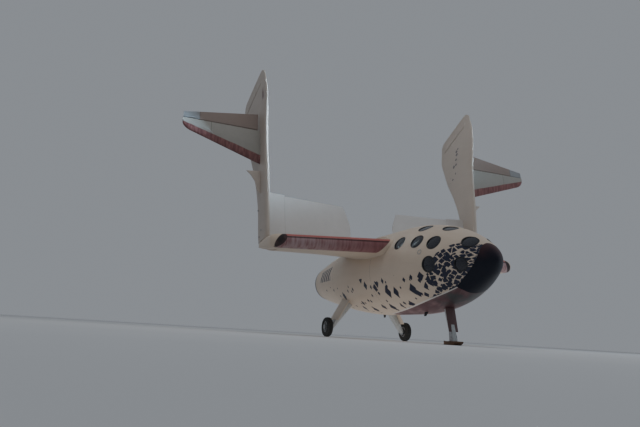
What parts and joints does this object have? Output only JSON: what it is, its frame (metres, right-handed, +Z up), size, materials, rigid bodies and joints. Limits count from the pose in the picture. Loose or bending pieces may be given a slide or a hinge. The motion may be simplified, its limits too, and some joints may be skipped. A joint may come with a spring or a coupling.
{
  "type": "suborbital spaceplane",
  "caption": "Small rocket spaceplane with a cabin of round windows, a high wing and a hinged tail raised on two booms, parked on main wheels and a nose skid.",
  "frame": {"origin": "on the floor, under the middle of the outer box", "axes": "+X towards the nose, +Y to port, +Z up"},
  "size_m": [6.364, 8.23, 5.4751],
  "materials": {
    "ivory_skin": "satin",
    "control_skin": "satin",
    "heat_coating": "matt",
    "nose_coating": "satin",
    "window_glass": "gloss",
    "motor_metal": "matt",
    "gear_metal": "satin",
    "tyre_rubber": "matt",
    "skid_wood": "matt",
    "cabin_metal": "satin",
    "seat_fabric": "matt",
    "panel_black": "matt"
  },
  "bodies": {
    "airframe": {"nose_cap": "nose_coating", "cabin_shell": "ivory_skin", "crew_hatch": "ivory_skin", "window_pane_left_1": "window_glass", "window_pane_left_2": "window_glass", "window_pane_left_3": "window_glass", "window_pane_left_4": "window_glass", "window_pane_left_5": "window_glass", "window_pane_left_6": "window_glass", "window_pane_left_7": "window_glass", "window_pane_left_8": "window_glass", "window_pane_right_1": "window_glass", "window_pane_right_2": "window_glass", "window_pane_right_3": "window_glass", "window_pane_right_4": "window_glass", "window_pane_right_5": "window_glass", "window_pane_right_6": "window_glass", "window_pane_right_7": "window_glass", "window_pane_right_8": "window_glass", "tank_section": "ivory_skin", "tail_cone": "ivory_skin", "rocket_motor": "motor_metal", "wing_left": "ivory_skin", "wing_leading_edge_left": "heat_coating", "wing_tip_left": "ivory_skin", "gear_leg_left": "gear_metal", "wing_right": "ivory_skin", "wing_leading_edge_right": "heat_coating", "wing_tip_right": "ivory_skin", "gear_leg_right": "gear_metal", "nose_skid_strut": "gear_metal", "nose_skid_shoe": "skid_wood", "cabin_floor": "cabin_metal", "pilot_seat": "seat_fabric", "passenger_seat_left": "seat_fabric", "passenger_seat_right": "seat_fabric", "instrument_panel": "panel_black"},
    "feather": {"feather_cross_tube": "gear_metal", "aft_wing_panel_left": "ivory_skin", "aft_wing_panel_right": "ivory_skin", "boom_left": "ivory_skin", "boom_right": "ivory_skin", "tailplane_left": "ivory_skin", "tailplane_right": "ivory_skin"},
    "wheel_left": {"tyre_left": "tyre_rubber", "wheel_rim_left": "gear_metal"},
    "elevon_left": {"elevon_left": "control_skin"},
    "rudder_upper_left": {"rudder_upper_left": "control_skin"},
    "rudder_lower_left": {"rudder_lower_left": "control_skin"},
    "wheel_right": {"tyre_right": "tyre_rubber", "wheel_rim_right": "gear_metal"},
    "elevon_right": {"elevon_right": "control_skin"},
    "rudder_upper_right": {"rudder_upper_right": "control_skin"},
    "rudder_lower_right": {"rudder_lower_right": "control_skin"}
  },
  "joints": [
    {"name": "feather_hinge", "type": "hinge", "parent": "airframe", "child": "feather", "pos_m": [-0.863, 0, 1.669], "axis": [0, 1, 0], "range_deg": [-80, 0]},
    {"name": "wheel_spin_left", "type": "hinge", "parent": "airframe", "child": "wheel_left", "pos_m": [-0.988, 0.88, 0.19], "axis": [0, 1, 0], "continuous": true},
    {"name": "wheel_spin_right", "type": "hinge", "parent": "airframe", "child": "wheel_right", "pos_m": [-0.988, -0.88, 0.19], "axis": [0, 1, 0], "continuous": true},
    {"name": "elevon_hinge_left", "type": "hinge", "parent": "feather", "child": "elevon_left", "pos_m": [-1.19818, 3.3, 4.09972], "axis": [0, 1, 0], "range_deg": [-20, 20]},
    {"name": "elevon_hinge_right", "type": "hinge", "parent": "feather", "child": "elevon_right", "pos_m": [-1.19818, -3.3, 4.09972], "axis": [0, 1, 0], "range_deg": [-20, 20]},
    {"name": "rudder_upper_hinge_left", "type": "hinge", "parent": "feather", "child": "rudder_upper_left", "pos_m": [-1.46799, 2.56414, 5.10008], "axis": [0.9043, -0.0438, 0.4247], "range_deg": [-20, 20]},
    {"name": "rudder_upper_hinge_right", "type": "hinge", "parent": "feather", "child": "rudder_upper_right", "pos_m": [-1.46799, -2.56414, 5.10008], "axis": [0.9043, 0.0438, 0.4247], "range_deg": [-20, 20]},
    {"name": "rudder_lower_hinge_left", "type": "hinge", "parent": "feather", "child": "rudder_lower_left", "pos_m": [-1.46799, 2.56414, 5.10008], "axis": [0.9043, -0.0438, 0.4247], "range_deg": [-20, 20]},
    {"name": "rudder_lower_hinge_right", "type": "hinge", "parent": "feather", "child": "rudder_lower_right", "pos_m": [-1.46799, -2.56414, 5.10008], "axis": [0.9043, 0.0438, 0.4247], "range_deg": [-20, 20]}
  ]
}
